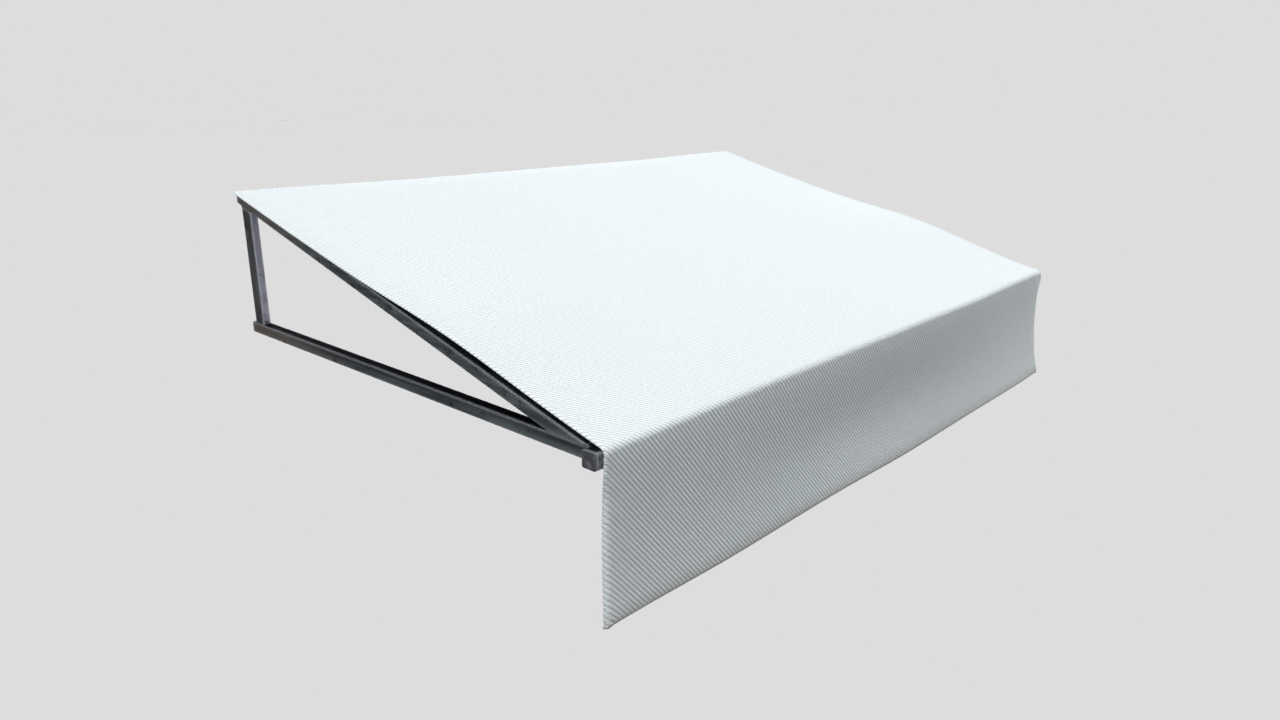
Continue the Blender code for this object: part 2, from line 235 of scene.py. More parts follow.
def smooth(value):
    """0 below 0, 1 above 1, and an even S between them."""
    value = np.clip(value, 0, 1)
    return value * value * (3 - 2 * value)


def colour_property(name, description, code):
    return bpy.props.FloatVectorProperty(
        name=name, description=description, default=linear(code), subtype="COLOR", size=3,
        min=0, max=1,
    )


def length_property(name, description, default):
    return bpy.props.FloatProperty(
        name=name, description=description, default=default, min=0, unit="LENGTH", precision=5
    )


def angle_property(name, description, degrees):
    return bpy.props.FloatProperty(
        name=name, description=description, default=math.radians(degrees), subtype="ANGLE", min=0
    )


def light_property(name, description, default):
    return bpy.props.FloatProperty(name=name, description=description, default=default, min=0)


class ClothSettings(bpy.types.PropertyGroup):
    """Sizes and colours of the awning cloth."""

    thickness: length_property("Thickness", "Cloth thickness over the ribs", 0.0024)
    rib_across: length_property(
        "Rib spacing across", "Distance between ribs along the wall", 0.0094
    )
    rib_along: length_property("Rib spacing down", "Distance between ribs down the cloth", 0.0104)
    rib_height: length_property("Rib height", "Height of the ribs over the grooves", 0.00135)
    edge_roll: length_property(
        "Edge roll", "Radius of the rolled side edges of the valance", 0.007
    )
    thread: length_property(
        "Thread spacing", "Distance between the threads that cross a rib", 0.0042
    )
    colour: colour_property("Cloth", "Colour of the ribs", "#F1F7FA")
    # The colour that the painted shade in the grooves, between the threads and on the rolled hem
    # takes
    groove: colour_property("Grooves", "Colour at the bottom of the grooves", "#C3C9CC")
    soiled: colour_property("Soiled hem", "Colour of the hem's last centimetres", "#B9B2AC")


class SteelSettings(bpy.types.PropertyGroup):
    """Sizes and colours of the steel frame and what is fixed to it."""

    bead: length_property("Weld bead", "Radius of the weld beads", 0.0018)
    ripple: length_property("Weld ripple", "Distance between the ripples of a weld", 0.0022)
    dark: colour_property("Mill scale", "Dark blue-grey of the rolled tube", "#484D50")
    warm: colour_property("Brown patches", "Warm patches on the tube", "#7C7167")
    # Paler corners: wear with a painted highlight, fuller on the upper corners
    worn_and_lit: colour_property("Worn edges", "Paler steel along the corners", "#C6CBCF")
    # Painted sheen: a paler colour on the faces that look at the street, standing in for the light
    # they catch
    front_sheen: colour_property(
        "Front faces", "Paler cast of the faces that look at the street", "#D2D2E4"
    )
    grazing: colour_property("Flat glance", "Tint of the shine at a flat glance", "#AAAAAF")
    bead_tint: colour_property("Weld tint", "Straw and silver of the weld beads", "#83807C")
    plug: colour_property("End plugs", "Moulded plastic of the end plugs", "#3B3F42")
    # Paler plug corners: wear with a painted highlight, fuller on the upper corners
    rubbed_and_lit: colour_property(
        "Rubbed plastic", "Paler plastic along the corners of the end plugs", "#8C9096"
    )
    scuffed: colour_property("Scuffed plastic", "Purple-grey scuffs on the end plugs", "#5C5C66")
    tape: colour_property("Tape", "Woven tape that holds the cloth", "#26272A")


class StageSettings(bpy.types.PropertyGroup):
    """The plain studio round the awning."""

    background: colour_property(
        "Background", "Floor and background as the camera sees them", "#DDDDDD"
    )
    floor_bounce: light_property(
        "Floor bounce", "Share of its light that the floor throws back up", 0.16
    )
    fill: light_property("Fill light", "Even light from all round", 0.25)
    key: light_property("Key light", "Strength of the lamp overhead", 0.88)
    key_softness: angle_property(
        "Key softness", "How wide the overhead lamp looks from the awning", 34
    )
    side: light_property("Side light", "Strength of the low lamp on the left", 0.21)
    side_softness: angle_property(
        "Side softness", "How wide the low lamp looks from the awning", 40
    )
    front: light_property(
        "Front light", "Power of the soft box in front on the right, in watts", 5.0
    )


def set_sockets(tree, node, values):
    """Sets inputs: a value is set, a socket is linked, and a node stands for its first output."""
    for socket, value in values.items():
        if isinstance(value, bpy.types.Node):
            value = value.outputs[0]
        if isinstance(value, bpy.types.NodeSocket):
            tree.links.new(value, node.inputs[socket])
        else:
            node.inputs[socket].default_value = value


def add_node(tree, kind, values=None, **settings):
    """Adds a node with its settings, then its values and links."""
    made = tree.nodes.new(kind)
    for name, value in settings.items():
        setattr(made, name, value)
    set_sockets(tree, made, values or {})
    return made


def layered(tree, colour, *layers):
    """A colour with others laid over it in turn, each by its own share.

    A Mix node's colour sockets go by number, as its sockets for other values share their names.
    """
    under, over, result = 6, 7, 2
    for share, laid in layers:
        mix = add_node(
            tree, "ShaderNodeMix", {0: share, under: colour, over: laid}, data_type="RGBA"
        )
        colour = mix.outputs[result]
    return colour


def new_material(name):
    """An empty material with a Principled shader on its output, and its tree."""
    made = bpy.data.materials.new(name)
    made.use_nodes = True
    tree = made.node_tree
    return made, tree, tree.nodes["Principled BSDF"]


def opaque(colour, share=1):
    """A share of a colour, with full alpha."""
    return (*(v * share for v in colour), 1)


def add_piece(name, mesh, material):
    """A finished piece with its material, in the scene and on the body."""
    mesh.materials.append(material)
    piece = bpy.data.objects.new(name, mesh)
    bpy.context.scene.collection.objects.link(piece)
    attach(piece, ROOT)
    return piece


def rafter_top(y):
    """Height of the rafters' top faces."""
    return EAVES + GAP + SLOPE * (y - BAR_HIGH.y - GAP)


def cloth_height(x, y):
    """Height of the roof cloth's under side.

    Midway it runs straight from the crown of the bend to the rear strip, a little slack, and level
    over the strip. Along each side it rests on the rafter near the wall and stands off it further
    out in one long billow, higher on the right. The two are blended across the width.
    """
    from_bend = (y - CLOTH_INNER_FACE) / (BACK_EDGE - CLOTH_INNER_FACE)
    crown = EAVES + CROWN_LIFT
    rear = STRIP_TOP + GAP
    run = np.clip((y - CLOTH_INNER_FACE) / (RAIL_LOW.y - CLOTH_INNER_FACE), None, 1)
    middle = crown + (rear - crown) * run - CENTRE_SAG * np.sin(np.pi * np.clip(run, 0, 1))

    side_lift = SIDE_LIFT + RIGHT_EXTRA_LIFT * (x > 0)
    lift = GAP + side_lift * np.clip(1 - from_bend / SIDE_LIFT_END, 0, None)
    billow = BILLOW_HEIGHT + RIGHT_EXTRA_BILLOW * (x > 0)
    lift = lift + billow * np.exp(-(((from_bend - BILLOW_PLACE) / BILLOW_LENGTH) ** 2))
    edge = rafter_top(y) + lift

    share = smooth((np.abs(x) - (RAFTER_INNER_FACE - SIDE_BAND) + SIDE_BLEND) / SIDE_BLEND)
    return middle * (1 - share) + edge * share


ARC_START = CLOTH_INNER_FACE + BEND_RADIUS * (1 - math.sin(ROOF_PITCH))
ROOF_LENGTH = (BACK_EDGE - ARC_START) / math.cos(ROOF_PITCH)
BEND_LENGTH = BEND_RADIUS * (math.pi / 2 - ROOF_PITCH)
VALANCE_LENGTH = VALANCE_DROP - BEND_RADIUS
CLOTH_LENGTH = ROOF_LENGTH + BEND_LENGTH + VALANCE_LENGTH


def right_edge(s, depth):
    """How far the right side edge stands out past its straight line.

    It is the sum of an ear, which rises over the last of the roof and falls below the bend, and of
    a waist, which is a squared sine of the depth below the bend.
    """
    rise = smooth(1 + (s - ROOF_LENGTH) / RIGHT_EAR_UP)
    fall = 1 - smooth((depth - RIGHT_EAR_FROM) / RIGHT_EAR_DOWN)
    waist = np.sin(np.pi * np.clip(depth / RIGHT_WAIST_END, 0, 1)) ** 2
    return RIGHT_EAR * (rise * fall) - RIGHT_WAIST * waist


def valance_lean(x, down):
    """How far the valance stands forward, at a share of its depth: four smooth leans added."""
    below_bar = np.clip((down - LEAN_FROM) / (1 - LEAN_FROM), 0, 1)
    near_middle = np.exp(-(((x - LEAN_PLACE) / LEAN_LENGTH) ** 2))
    drawn_in = near_middle * np.sin(np.pi * below_bar) ** 2
    hem_kick = smooth((x - HEM_KICK_FROM) / HEM_KICK_LENGTH) * down**4
    corner_kick = smooth((x - CORNER_KICK_FROM) / CORNER_KICK_LENGTH) * down**1.5
    even = FLARE_FORWARD * down**2
    return even - LEAN_IN * drawn_in + HEM_KICK * hem_kick + CORNER_KICK * corner_kick


def side_roll(s, roll):
    """Radius of the side rolls: thin on the roof and against the bar, full down the valance."""
    depth = s - ROOF_LENGTH - BEND_LENGTH
    return ROOF_ROLL + (roll - ROOF_ROLL) * smooth((depth - ROLL_FROM) / ROLL_LENGTH)


def lay_cloth(share, s):
    """Points of the under side at a share of the half width (-1 to 1) and a length down the cloth.

    First the roof, as a height over the ground. Then the bend: an arc that starts at the roof's
    pitch and ends upright. Then the valance, down to the hem's own line, with its side edges and
    its lean added on.
    """
    down = np.clip((s - ROOF_LENGTH - BEND_LENGTH) / VALANCE_LENGTH, 0, None)
    out = np.clip(s / ROOF_LENGTH, 0, 1)
    half = SIDE_FACE + BACK_OVERHANG - (BACK_OVERHANG + BEND_INSET) * out
    depth = down * VALANCE_LENGTH
    left_edge = LEFT_FLARE_OUT * down - LEFT_DRAWN_IN * smooth((depth - ROLL_FROM) / ROLL_LENGTH)
    half = half + np.where(share > 0, right_edge(s, depth), left_edge)
    x = share * half

    y_roof = BACK_EDGE - np.clip(s, None, ROOF_LENGTH) * math.cos(ROOF_PITCH)
    z_roof = cloth_height(x, y_roof)
    turn = ROOF_PITCH + np.clip((s - ROOF_LENGTH) / BEND_RADIUS, 0, math.pi / 2 - ROOF_PITCH)
    y = y_roof + BEND_RADIUS * (math.sin(ROOF_PITCH) - np.sin(turn)) - valance_lean(x, down)
    z = z_roof + BEND_RADIUS * (np.cos(turn) - math.cos(ROOF_PITCH))

    hem = HEM_LEVEL + HEM_WAVE * np.cos(2 * np.pi * (x - HEM_WAVE_PLACE) / HEM_WAVE_LENGTH)
    hem = hem + HEM_LEFT_RISE * smooth((-x - (SIDE_FACE - HEM_LEFT_LENGTH)) / HEM_LEFT_LENGTH)
    from_corner = (1 - np.abs(share)) * SIDE_FACE
    hem = hem - HEM_CORNER_DROP * smooth(1 - from_corner / HEM_CORNER_LENGTH)
    hem = hem + HEM_RIGHT_RISE * smooth((x - HEM_RIGHT_FROM) / HEM_RIGHT_LENGTH)
    z = z + (hem - z) * down
    return np.stack([x, y, z], axis=-1)


def unit(vectors):
    return vectors / np.linalg.norm(vectors, axis=-1, keepdims=True)


def edge_distance(across, s, thickness, roll):
    """Distances from a side edge and from the hem, along the cloth and round its rolls."""
    side_arc = side_roll(s * CLOTH_LENGTH, roll) * (math.pi / 2 - 1)
    hem_arc = HEM_ROLL * (math.pi / 2 - 1)
    from_side = (1 - np.abs(across)) * (SIDE_FACE - thickness + side_arc)
    from_hem = (1 - s) * (CLOTH_LENGTH - thickness + hem_arc)
    return from_side, from_hem


def rolled_in(distance, reach, radius):
    """Turn round a rolled edge, and place towards it, at a distance from it along the cloth.

    The turn goes from 0 where the roll starts to a quarter circle at the edge, whose place is the
    reach. On the roll the place follows the sine of the turn, and before it the flat cloth.
    """
    turn = np.clip(math.pi / 2 - distance / radius, 0, math.pi / 2)
    flat = reach + radius * (math.pi / 2 - 1) - distance
    return turn, np.where(turn > 0, reach - radius + radius * np.sin(turn), flat)


def cloth_points(across, s, thickness, rib_height, roll, phase):
    """Inner and outer points of the cloth.

    The cloth lies as lay_cloth says, and its side edges and hem are rolled down in a quarter
    circle. The normal is the cross product of the steps along the two directions, turned round the
    roll. The outer side stands off by the thickness, less the depth of the grooves. A rib's section
    is the size of a cosine: round on top, narrow in the groove. The grooves grow shallow towards
    the side edges and the hem.
    """
    from_side, from_hem = edge_distance(across, s, thickness, roll)
    radius = side_roll(s * CLOTH_LENGTH, roll)
    side_turn, out = rolled_in(from_side, SIDE_FACE - thickness, radius)
    hem_turn, length = rolled_in(from_hem, CLOTH_LENGTH - thickness, HEM_ROLL)
    share = np.sign(across) * out / SIDE_FACE

    step = NORMAL_STEP
    point = lay_cloth(share, length)
    along_x = unit(lay_cloth(share + step, length) - lay_cloth(share - step, length))
    along_s = unit(lay_cloth(share, length + step) - lay_cloth(share, length - step))
    normal = unit(np.cross(along_s, along_x))
    normal *= np.sign(normal[..., 2:] - normal[..., 1:2])
    drop = radius * (1 - np.cos(side_turn)) + HEM_ROLL * (1 - np.cos(hem_turn))
    point = point - normal * drop[..., None]
    facing = normal * (np.cos(side_turn) * np.cos(hem_turn))[..., None]
    facing = facing + along_x * (np.sign(across) * np.sin(side_turn))[..., None]
    facing = unit(facing + along_s * np.sin(hem_turn)[..., None])

    fade = smooth(from_side / SIDE_RIB_FADE) * smooth(from_hem / HEM_RIB_FADE)
    groove = rib_height * (1 - np.abs(np.cos(np.pi * phase)))
    depth = groove * (EDGE_RELIEF + (1 - EDGE_RELIEF) * fade)
    inner = point + facing * (INNER_RELIEF * depth)[..., None]
    outer = point + facing * (thickness - depth)[..., None]
    return inner, outer


def ribbed_grid(ribs_across, ribs_along, roll):
    """The flat cloth as columns that follow the ribs, each cut where its rib meets an edge.

    A point's phase is its rib number: its share across times the ribs across, less its share down
    times the ribs along. A column keeps its phase, from where it enters (at the back or left edge)
    to where it leaves (at the hem or right edge). Its rows are a few close ones at each end, spaced
    as the squares of their numbers, and the cloth's own rows between them, held inside its ends.
    Returns the share down and the phase, as columns by rows.
    """
    arc = roll * math.pi / 2
    count = (ribs_across + ribs_along) * SAMPLES_A_RIB
    phase = np.linspace(-ribs_along, ribs_across, count + 1)
    enter = np.clip(-phase / ribs_along, 0, 1)
    leave = np.clip((ribs_across - phase) / ribs_along, 0, 1)
    arc_share = arc / (2 * SIDE_FACE) * ribs_across / ribs_along
    close = arc_share * np.linspace(0, 1, EDGE_ROWS + 1) ** 2
    middle = (enter + leave) / 2
    first = np.minimum(enter[:, None] + close, middle[:, None])
    last = np.maximum(leave[:, None] - close[::-1], middle[:, None])
    rows = np.concatenate([
        np.linspace(0, ROOF_LENGTH, ROOF_ROWS + 1),
        ROOF_LENGTH + np.linspace(0, BEND_LENGTH, BEND_ROWS + 1)[1:],
        ROOF_LENGTH + BEND_LENGTH + np.linspace(0, VALANCE_LENGTH, VALANCE_ROWS + 1)[1:],
    ]) / CLOTH_LENGTH
    between = np.clip(rows[None, :], first[:, -1:], last[:, :1])
    down = np.concatenate([first, between, last], axis=1)
    return down, np.broadcast_to(phase[:, None], down.shape)


def joined_faces(number):
    """Faces of a grid of vertex numbers: quads, and triangles where neighbours share a number."""
    a, b, c, d = number[:-1, :-1], number[1:, :-1], number[1:, 1:], number[:-1, 1:]
    quads = np.stack([a, b, c, d], axis=-1).reshape(-1, 4)
    left, right = quads[:, 0] == quads[:, 3], quads[:, 1] == quads[:, 2]
    low, high = quads[:, 0] == quads[:, 1], quads[:, 2] == quads[:, 3]
    whole = quads[~(left | right | low | high)]
    no_left = quads[left & ~right][:, [0, 1, 2]]
    no_right = quads[right & ~left][:, [0, 1, 3]]
    return whole.tolist() + no_left.tolist() + no_right.tolist()


def rib_spacing(cloth):
    """Distance between ribs, square to them."""
    return 1 / math.hypot(1 / cloth.rib_across, 1 / cloth.rib_along)


def canopy_mesh(cloth):
    """The sheet of cloth as one closed mesh, with a UV map in metres square to the ribs and along.

    Its outer and inner sides have the same faces, turned round, and a strip of quads joins them
    along the columns' ends.
    """
    total = 2 * SIDE_FACE
    ribs_across = round(total / cloth.rib_across)
    ribs_along = round(CLOTH_LENGTH / cloth.rib_along)
    down, phase = ribbed_grid(ribs_across, ribs_along, cloth.edge_roll)
    fresh = np.ones(down.shape, bool)
    fresh[:, 1:] = np.diff(down, axis=1) > SAME_ROW
    number = (np.cumsum(fresh.ravel()) - 1).reshape(down.shape)
    down, phase = down[fresh], phase[fresh]
    across = 2 * (phase + down * ribs_along) / ribs_across - 1
    inner, outer = cloth_points(
        across, down, cloth.thickness, cloth.rib_height, cloth.edge_roll, phase
    )
    count = len(down)

    top = joined_faces(number)
    under = [face[::-1] for face in joined_faces(number + count)]
    ends = []
    for edge, turn in ((number[:, 0], 1), (number[:, -1], -1)):
        strip = np.stack([edge[:-1], edge[:-1] + count, edge[1:] + count, edge[1:]], axis=-1)
        ends += strip[:, ::turn].tolist()
    mesh = bpy.data.meshes.new("canopy_cloth")
    mesh.from_pydata(np.concatenate([outer, inner]).tolist(), [], top + under + ends)
    mesh.validate()

    spacing = rib_spacing(cloth)
    along_rib = across * SIDE_FACE / cloth.rib_along + down * CLOTH_LENGTH / cloth.rib_across
    flat = np.stack([phase * spacing, along_rib * spacing], axis=-1)
    flat = np.concatenate([flat, flat])
    corner = np.empty(len(mesh.loops), np.int32)
    mesh.loops.foreach_get("vertex_index", corner)
    layer = mesh.uv_layers.new(name="cloth_metres")
    layer.data.foreach_set("uv", flat[corner].astype(np.float32).ravel())
    mesh.shade_smooth()
    mesh.set_sharp_from_angle(angle=GROOVE_SHARP)
    from_hem = edge_distance(across, down, cloth.thickness, cloth.edge_roll)[1]
    layer = mesh.attributes.new("from_hem", "FLOAT", "POINT")
    layer.data.foreach_set("value", np.concatenate([from_hem, from_hem]).astype(np.float32))
    return mesh


def cloth_material(cloth):
    """Ribbed acrylic canvas, woven white.

    It gives a matt face without gloss, soft ridges between narrow grooves with painted shade in
    them, and small irregular knots where threads cross the ribs, with painted shade between the
    threads. The rolled hem has painted shade over its last few millimetres, and a brown tinge of
    dust. The threads are drawn about twice their real width, so that they show.
    """
    made, tree, shader = new_material("ribbed_white_acrylic_canvas")
    spacing = rib_spacing(cloth)
    place = add_node(tree, "ShaderNodeUVMap", uv_map="cloth_metres")
    split = add_node(tree, "ShaderNodeSeparateXYZ", {0: place})
    turn = add_node(
        tree, "ShaderNodeMath", {0: split.outputs["X"], 1: 2 * math.pi / spacing},
        operation="MULTIPLY",
    )
    rib = add_node(tree, "ShaderNodeMath", {0: turn}, operation="COSINE")
    # Painted shade in the grooves: 1 at their bottoms, where they lie in shade, fading to 0 up
    # their sides
    groove = add_node(
        tree, "ShaderNodeMapRange",
        {0: rib, "From Min": -1, "From Max": -0.1, "To Min": 1, "To Max": 0},
        interpolation_type="SMOOTHSTEP",
    )

    knots = add_node(
        tree, "ShaderNodeMapping", {0: place, "Scale": (2 / spacing, 1 / cloth.thread, 1)}
    )
    uneven = add_node(tree, "ShaderNodeTexNoise", {"Vector": knots, "Scale": 1, "Detail": 1})
    beat = add_node(
        tree, "ShaderNodeMath", {0: split.outputs["Y"], 1: 2 * math.pi / cloth.thread},
        operation="MULTIPLY",
    )
    thread = add_node(tree, "ShaderNodeMath", {0: beat}, operation="COSINE")
    knot = add_node(
        tree, "ShaderNodeMath", {0: thread, 1: THREAD_BEAT, 2: uneven}, operation="MULTIPLY_ADD"
    )
    shaded = add_node(
        tree, "ShaderNodeMapRange",
        {0: knot, "From Min": 0.56, "From Max": 0.30, "To Max": THREAD_SHADE},
    )
    body = add_node(tree, "ShaderNodeTexCoord").outputs["Object"]
    fibre = add_node(
        tree, "ShaderNodeTexNoise", {"Vector": body, "Scale": FIBRE_SCALE, "Detail": 3}
    )
    mottle = add_node(
        tree, "ShaderNodeTexNoise",
        {"Vector": body, "Scale": MOTTLE_SCALE, "Detail": 4, "Roughness": 0.6},
    )

    weathered = [v * f for v, f in zip(cloth.colour, MOTTLE_TINT)]
    # Painted shade in the grooves and between the threads: the cloth there takes the groove colour
    groove_and_thread_shade = add_node(tree, "ShaderNodeMath", {0: groove, 1: shaded}, operation="MAXIMUM")
    hem = add_node(tree, "ShaderNodeAttribute", attribute_name="from_hem").outputs["Fac"]
    dust = add_node(
        tree, "ShaderNodeMapRange", {0: hem, "From Max": DUST_HEIGHT, "To Min": 0.45, "To Max": 0},
        interpolation_type="SMOOTHSTEP",
    )
    # Painted shade on the rolled hem: its last few millimetres take the groove colour, as the roll
    # turns down away from the light
    rolled = add_node(
        tree, "ShaderNodeMapRange",
        {0: hem, "From Min": HEM_SHADE_BAND[0], "From Max": HEM_SHADE_BAND[1], "To Min": 0.7, "To Max": 0},
    )
    colour = layered(
        tree, opaque(cloth.colour), (mottle, opaque(weathered)), (groove_and_thread_shade, opaque(cloth.groove)),
        (dust, opaque(cloth.soiled)), (rolled, opaque(cloth.groove)),
    )

    relief = add_node(
        tree, "ShaderNodeMath", {0: fibre, 1: FIBRE_RELIEF, 2: knot}, operation="MULTIPLY_ADD"
    )
    bump = add_node(
        tree, "ShaderNodeBump", {"Height": relief, "Distance": CANVAS_DEPTH, "Strength": 0.8}
    )
    set_sockets(tree, shader, {
        "Base Color": colour, "Normal": bump, "Roughness": 0.95, "Specular IOR Level": 0.2,
    })
    return made


def worn_and_lit_edges(tree, radius, grain):
    """1 along the upper corners of a piece, less along its lower ones and 0 on its faces.

    A corner is where the true normal and one rounded over the radius differ. A grain breaks it up.
    The band is wear and a painted highlight: lower corners get less of it, as they face away from
    the light from above.
    """
    flat = add_node(tree, "ShaderNodeNewGeometry").outputs["Normal"]
    rounded = add_node(tree, "ShaderNodeBevel", {"Radius": radius}, samples=6)
    even = add_node(
        tree, "ShaderNodeVectorMath", {0: flat, 1: rounded}, operation="DOT_PRODUCT"
    ).outputs["Value"]
    edge = add_node(tree, "ShaderNodeMapRange", {0: even, "From Min": 0.975, "From Max": 0.88})
    # Painted highlight: the band is full on corners whose rounded normal points up and a small
    # share on those that point down, as the light falls from above
    height = add_node(tree, "ShaderNodeSeparateXYZ", {0: rounded}).outputs["Z"]
    upper = add_node(
        tree, "ShaderNodeMapRange",
        {0: height, "From Min": -0.3, "From Max": 0.3, "To Min": LOWER_CORNER_LIT_SHARE},
    )
    broken = add_node(tree, "ShaderNodeMapRange", {0: grain, "From Min": 0.25, "From Max": 0.50})
    line = add_node(tree, "ShaderNodeMath", {0: edge, 1: upper}, operation="MULTIPLY")
    return add_node(tree, "ShaderNodeMath", {0: line, 1: broken}, operation="MULTIPLY")


def steel_material(steel, name, seed, stretch, paleness, warmth, front_sheen_share, shaded_top=False):
    """Rolled mild steel tube, blackened and oiled.

    It gives dull blue-grey metal with streaks along the tube from the rolls, small soot smudges, a
    brown tinge towards the wall, a painted sheen on the faces that look at the street, and pale
    corners that are partly wear and partly a painted highlight, fuller on the upper corners. The
    stretch draws the streaks out along the tube, the paleness lifts its colour, and the warmth and
    the front sheen share say how much of the brown and of the painted sheen it has. A tube with a
    shaded top has painted shade on its level top face and down its sides, where the cloth above
    shades it, thinning towards their lower edges.
    """
    made, tree, shader = new_material(name)
    place = add_node(tree, "ShaderNodeTexCoord").outputs["Object"]
    moved = add_node(
        tree, "ShaderNodeVectorMath", {0: place, 1: (seed, seed / 2, -seed)}, operation="ADD"
    )
    drawn = add_node(tree, "ShaderNodeVectorMath", {0: moved, 1: stretch}, operation="MULTIPLY")
    streaks = add_node(
        tree, "ShaderNodeTexNoise",
        {"Vector": drawn, "Scale": STREAK_SCALE, "Detail": 4, "Roughness": 0.55},
    )
    streak = add_node(tree, "ShaderNodeMapRange", {0: streaks, "From Min": 0.38, "From Max": 0.66})
    smudges = add_node(
        tree, "ShaderNodeTexNoise",
        {"Vector": moved, "Scale": SMUDGE_SCALE, "Detail": 6, "Roughness": 0.68},
    )
    smudge = add_node(
        tree, "ShaderNodeMapRange", {0: smudges, "From Min": 0.52, "From Max": 0.68, "To Max": 0.85}
    )
    grain = add_node(
        tree, "ShaderNodeTexNoise", {"Vector": moved, "Scale": GRAIN_SCALE, "Detail": 3}
    )

    normal = add_node(tree, "ShaderNodeNewGeometry").outputs["Normal"]
    facing = add_node(tree, "ShaderNodeSeparateXYZ", {0: normal})
    # Painted sheen: faces turned to the street take a paler colour, standing in for the light that
    # they catch
    front = add_node(
        tree, "ShaderNodeMapRange",
        {0: facing.outputs["Y"], "From Min": -0.75, "From Max": -0.97, "To Max": front_sheen_share},
    )
    spot = add_node(tree, "ShaderNodeSeparateXYZ", {0: place})
    near_wall = add_node(
        tree, "ShaderNodeMapRange",
        {0: spot.outputs["Y"], "From Min": BROWN_FROM, "From Max": BROWN_TO},
    )
    patch = add_node(
        tree, "ShaderNodeMapRange",
        {0: smudges, "From Min": 0.35, "From Max": 0.6, "To Min": 0.4 * warmth, "To Max": warmth},
    )
    tinge = add_node(tree, "ShaderNodeMath", {0: near_wall, 1: patch}, operation="MULTIPLY")

    # Painted shade: a tube with a shaded top has its level top face and the upper part of its sides
    # darkened, as the cloth above shades them, laid together with the real soot smudges
    shade_and_dirt = smudge
    if shaded_top:
        top = add_node(
            tree, "ShaderNodeMapRange",
            {0: facing.outputs["Z"], "From Min": 0.6, "From Max": 0.95},
        )
        side = add_node(
            tree, "ShaderNodeMapRange",
            {0: spot.outputs["Z"], "From Min": ARM_LOW.z, "From Max": ARM_HIGH.z, "To Max": 0.75},
        )
        thin = add_node(tree, "ShaderNodeMapRange", {0: near_wall, "To Min": 1, "To Max": 0.2})
        side = add_node(tree, "ShaderNodeMath", {0: side, 1: thin}, operation="MULTIPLY")
        both = add_node(tree, "ShaderNodeMath", {0: top, 1: side}, operation="MAXIMUM")
        shade_and_dirt = add_node(tree, "ShaderNodeMath", {0: both, 1: smudge}, operation="MAXIMUM")
    # Worn corners with a painted highlight, fuller on the upper corners
    worn_and_lit = worn_and_lit_edges(tree, STEEL_EDGE_BAND, grain)
    colour = layered(
        tree, opaque(steel.dark, STREAK_DARK * paleness),
        (streak, opaque(steel.dark, STREAK_LIGHT * paleness)), (front, opaque(steel.front_sheen)),
        (tinge, opaque(steel.warm)), (shade_and_dirt, opaque(steel.dark, SOOT_AND_SHADE)), (worn_and_lit, opaque(steel.worn_and_lit)),
    )

    rough = add_node(
        tree, "ShaderNodeMapRange",
        {0: smudges, "From Min": 0.3, "From Max": 0.7, "To Min": 0.30, "To Max": 0.46},
    )
    bump = add_node(
        tree, "ShaderNodeBump", {"Height": grain, "Distance": GRAIN_DEPTH, "Strength": 0.3}
    )
    set_sockets(tree, shader, {
        "Base Color": colour, "Normal": bump, "Roughness": rough, "Metallic": 1.0,
        "Specular Tint": opaque(steel.grazing),
    })
    return made


def weld_material(steel):
    """Steel weld bead, brushed.

    It gives silvery grey ripples with a straw and blue heat tint, and dark slag in between.
    """
    made, tree, shader = new_material("brushed_steel_weld_bead")
    place = add_node(tree, "ShaderNodeTexCoord").outputs["Object"]
    heat = add_node(
        tree, "ShaderNodeTexNoise",
        {"Vector": place, "Scale": HEAT_SCALE, "Detail": 4, "Roughness": 0.6},
    )
    slag = add_node(
        tree, "ShaderNodeTexNoise", {"Vector": place, "Scale": SLAG_SCALE, "Detail": 3}
    )
    spot = add_node(tree, "ShaderNodeMapRange", {0: slag, "From Min": 0.50, "From Max": 0.66})
    colour = layered(
        tree, opaque(steel.dark, 0.8), (heat, opaque(steel.bead_tint)),
        (spot, opaque(steel.dark, 0.25)),
    )
    bump = add_node(
        tree, "ShaderNodeBump", {"Height": slag, "Distance": 0.0003, "Strength": 0.5}
    )
    set_sockets(tree, shader, {
        "Base Color": colour, "Normal": bump, "Roughness": 0.42, "Metallic": 1.0,
    })
    return made


def plug_material(steel):
    """Moulded polyethylene end plug.

    It gives a dark face with a soft gloss, scuffed to purple-grey, and pale corners that are partly
    wear and partly a painted highlight, fuller on the upper corners.
    """
    made, tree, shader = new_material("moulded_dark_polyethylene")
    place = add_node(tree, "ShaderNodeTexCoord").outputs["Object"]
    grain = add_node(
        tree, "ShaderNodeTexNoise", {"Vector": place, "Scale": PLUG_GRAIN_SCALE, "Detail": 2}
    )
    clouds = add_node(
        tree, "ShaderNodeTexNoise", {"Vector": place, "Scale": SCUFF_SCALE, "Detail": 4}
    )
    cloud = add_node(tree, "ShaderNodeMapRange", {0: clouds, "From Min": 0.50, "From Max": 0.62})
    # Worn corners with a painted highlight, fuller on the upper corners
    worn_and_lit = worn_and_lit_edges(tree, PLUG_EDGE_BAND, grain)
    colour = layered(
        tree, opaque(steel.plug, 0.45), (cloud, opaque(steel.scuffed)),
        (worn_and_lit, opaque(steel.rubbed_and_lit)),
    )
    bump = add_node(
        tree, "ShaderNodeBump", {"Height": grain, "Distance": GRAIN_DEPTH, "Strength": 0.3}
    )
    set_sockets(tree, shader, {"Base Color": colour, "Normal": bump, "Roughness": 0.45})
    return made


